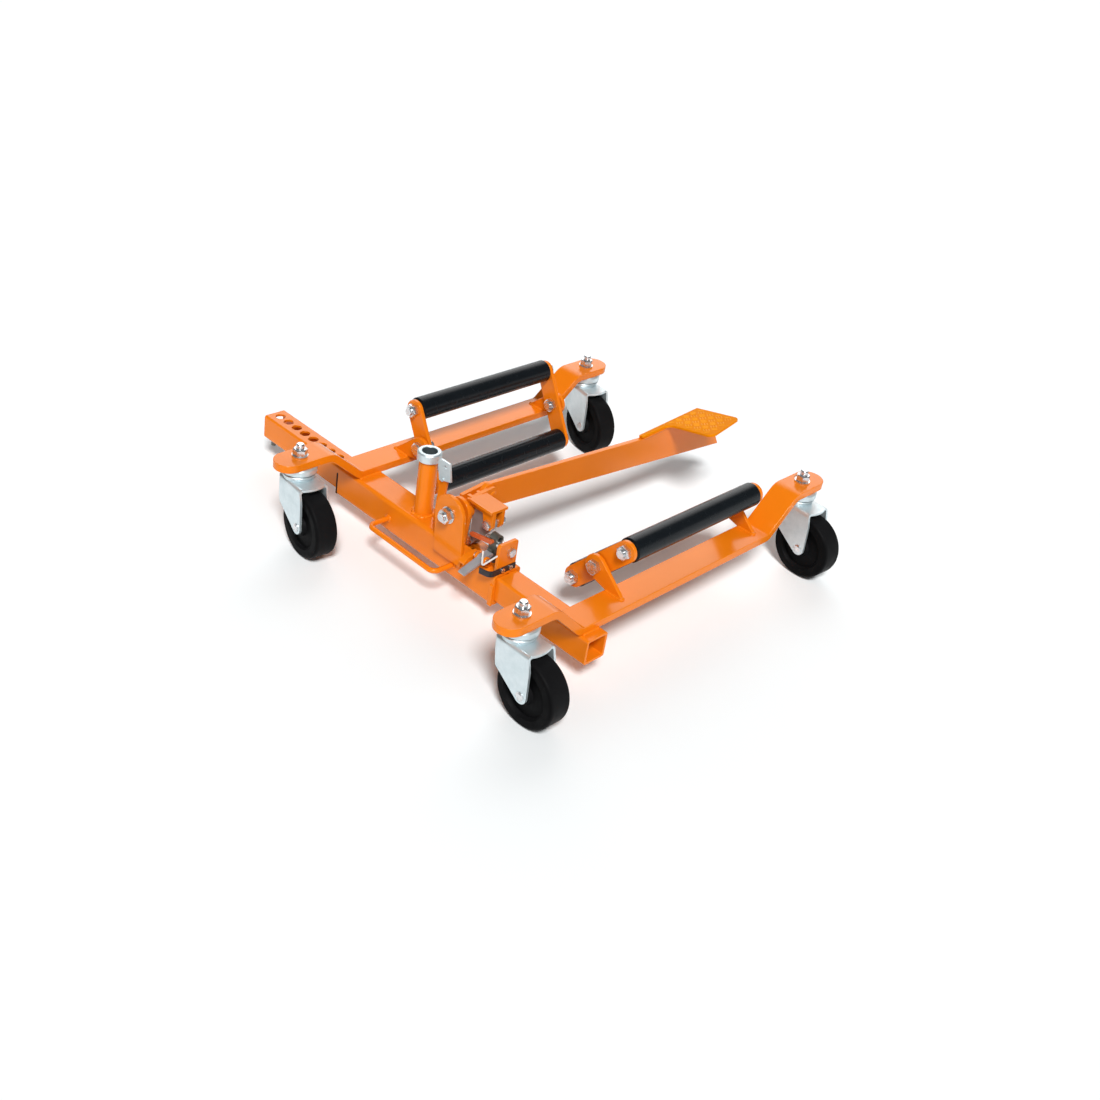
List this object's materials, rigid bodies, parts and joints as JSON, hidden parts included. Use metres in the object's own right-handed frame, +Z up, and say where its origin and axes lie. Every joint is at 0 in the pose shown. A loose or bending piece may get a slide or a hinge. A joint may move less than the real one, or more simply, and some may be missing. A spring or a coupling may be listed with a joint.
{
  "type": "vehicle positioning dolly",
  "caption": "Caster dolly whose telescopic crossbar, foot pedal ratchet and tilting roller cradles squeeze under a tyre to lift and roll a parked vehicle.",
  "frame": {"origin": "on the floor under the middle of the overall box", "axes": "+X along the crossbar from its drilled end to its open end, +Y along the arms away from the crossbar, +Z up"},
  "size_m": [0.7776, 0.7579, 0.1926],
  "materials": {
    "orange_paint": "gloss",
    "tread_paint": "gloss",
    "zinc_plate": "zinc plated",
    "bright_steel": "zinc plated",
    "pawl_steel": "satin",
    "roller_skin": "satin",
    "wheel_rubber": "matte"
  },
  "bodies": {
    "frame": {"sleeve": "orange_paint", "left_arm": "orange_paint", "post": "orange_paint", "collar": "zinc_plate", "latch_strip": "orange_paint", "latch_plate": "zinc_plate", "handle": "orange_paint", "front_cheek": "orange_paint", "inner_cheek": "orange_paint", "main_bolt": "bright_steel", "end_plate": "orange_paint", "guide_bolt": "bright_steel", "leaf_spring": "pawl_steel", "leaf_rivets": "bright_steel", "wire_hook": "bright_steel", "release_lugs": "orange_paint", "release_pin": "bright_steel", "gussets_left": "orange_paint", "pivot_bolts_left": "bright_steel", "studs_left": "bright_steel", "stud_nuts_left": "bright_steel", "races_left": "zinc_plate"},
    "carriage": {"inner_tube": "orange_paint", "right_arm": "orange_paint", "stop_pin": "pawl_steel", "gussets_right": "orange_paint", "pivot_bolts_right": "bright_steel", "studs_right": "bright_steel", "stud_nuts_right": "bright_steel", "races_right": "zinc_plate"},
    "cradle_left": {"links_left": "orange_paint", "roller_bolts_left": "bright_steel"},
    "cradle_right": {"links_right": "orange_paint", "roller_bolts_right": "bright_steel"},
    "rocker": {"rocker": "orange_paint", "rocker_leg": "pawl_steel", "rocker_bolts": "bright_steel", "fold_pin": "orange_paint"},
    "lever": {"lever": "orange_paint", "tread_plate": "tread_paint"},
    "drive_pawl": {"drive_pawl": "pawl_steel"},
    "release_lever": {"release_lever": "zinc_plate"},
    "holding_pawl": {"holding_pawl": "pawl_steel", "lift_arm": "orange_paint"},
    "roller_left_upper": {"roller_left_upper": "roller_skin"},
    "roller_left_lower": {"roller_left_lower": "roller_skin"},
    "roller_right_upper": {"roller_right_upper": "roller_skin"},
    "roller_right_lower": {"roller_right_lower": "roller_skin"},
    "caster_left_front": {"fork_left_front": "zinc_plate", "axle_left_front": "bright_steel"},
    "wheel_left_front": {"wheel_left_front": "wheel_rubber"},
    "caster_left_rear": {"fork_left_rear": "zinc_plate", "axle_left_rear": "bright_steel"},
    "wheel_left_rear": {"wheel_left_rear": "wheel_rubber"},
    "caster_right_front": {"fork_right_front": "zinc_plate", "axle_right_front": "bright_steel"},
    "wheel_right_front": {"wheel_right_front": "wheel_rubber"},
    "caster_right_rear": {"fork_right_rear": "zinc_plate", "axle_right_rear": "bright_steel"},
    "wheel_right_rear": {"wheel_right_rear": "wheel_rubber"}
  },
  "joints": [
    {"name": "tube_slide", "type": "slide", "parent": "frame", "child": "carriage", "axis": [1, 0, 0], "range_m": [-0.022, 0.176]},
    {"name": "cradle_left_tilt", "type": "hinge", "parent": "frame", "child": "cradle_left", "pos_m": [-0.11781, 0.0055, 0.123], "axis": [0, 1, 0], "range_deg": [-49, 29]},
    {"name": "cradle_right_tilt", "type": "hinge", "parent": "carriage", "child": "cradle_right", "pos_m": [0.25419, 0.0055, 0.118], "axis": [0, -1, 0], "range_deg": [-35, 43]},
    {"name": "roller_left_upper_spin", "type": "hinge", "parent": "cradle_left", "child": "roller_left_upper", "pos_m": [-0.14641, 0.0055, 0.1746], "axis": [0, 1, 0], "continuous": true},
    {"name": "roller_left_lower_spin", "type": "hinge", "parent": "cradle_left", "child": "roller_left_lower", "pos_m": [-0.08921, 0.0055, 0.0714], "axis": [0, 1, 0], "continuous": true},
    {"name": "roller_right_upper_spin", "type": "hinge", "parent": "cradle_right", "child": "roller_right_upper", "pos_m": [0.29443, 0.0055, 0.16115], "axis": [0, 1, 0], "continuous": true},
    {"name": "roller_right_lower_spin", "type": "hinge", "parent": "cradle_right", "child": "roller_right_lower", "pos_m": [0.21395, 0.0055, 0.07485], "axis": [0, 1, 0], "continuous": true},
    {"name": "swivel_left_front", "type": "hinge", "parent": "frame", "child": "caster_left_front", "pos_m": [-0.16381, -0.337, 0.11], "axis": [0, 0, 1], "continuous": true},
    {"name": "wheel_left_front_spin", "type": "hinge", "parent": "caster_left_front", "child": "wheel_left_front", "pos_m": [-0.12601, -0.34091, 0.05], "axis": [0.1028, 0.9947, 0], "continuous": true},
    {"name": "swivel_left_rear", "type": "hinge", "parent": "frame", "child": "caster_left_rear", "pos_m": [-0.16381, 0.276, 0.11], "axis": [0, 0, 1], "continuous": true},
    {"name": "wheel_left_rear_spin", "type": "hinge", "parent": "caster_left_rear", "child": "wheel_left_rear", "pos_m": [-0.12646, 0.26901, 0.05], "axis": [0.184, 0.9829, 0], "continuous": true},
    {"name": "swivel_right_front", "type": "hinge", "parent": "carriage", "child": "caster_right_front", "pos_m": [0.30019, -0.337, 0.11], "axis": [0, 0, 1], "continuous": true},
    {"name": "wheel_right_front_spin", "type": "hinge", "parent": "caster_right_front", "child": "wheel_right_front", "pos_m": [0.33819, -0.33707, 0.05], "axis": [0.0017, 1, 0], "continuous": true},
    {"name": "swivel_right_rear", "type": "hinge", "parent": "carriage", "child": "caster_right_rear", "pos_m": [0.30019, 0.276, 0.11], "axis": [0, 0, 1], "continuous": true},
    {"name": "wheel_right_rear_spin", "type": "hinge", "parent": "caster_right_rear", "child": "wheel_right_rear", "pos_m": [0.33811, 0.27361, 0.05], "axis": [0.0628, 0.998, 0], "continuous": true},
    {"name": "rocker_stroke", "type": "hinge", "parent": "frame", "child": "rocker", "pos_m": [0.06619, -0.219, 0.137], "axis": [0, -1, 0], "range_deg": [0, 36]},
    {"name": "lever_fold", "type": "hinge", "parent": "rocker", "child": "lever", "pos_m": [0.06619, -0.177, 0.15], "axis": [1, 0, 0], "range_deg": [0, 95]},
    {"name": "drive_pawl_drop", "type": "hinge", "parent": "rocker", "child": "drive_pawl", "pos_m": [0.08319, -0.219, 0.097], "axis": [0, -1, 0], "range_deg": [0, 32]},
    {"name": "release_press", "type": "hinge", "parent": "frame", "child": "release_lever", "pos_m": [0.13319, -0.2428, 0.099], "axis": [1, 0, 0], "range_deg": [-30, 0]},
    {"name": "holding_pawl_lift", "type": "slide", "parent": "frame", "child": "holding_pawl", "axis": [0, 0, 1], "range_m": [-0.007, 0]}
  ],
  "couplings": [
    {"joint": "holding_pawl_lift", "follows": "release_press", "m_per_rad": 0.013369}
  ]
}
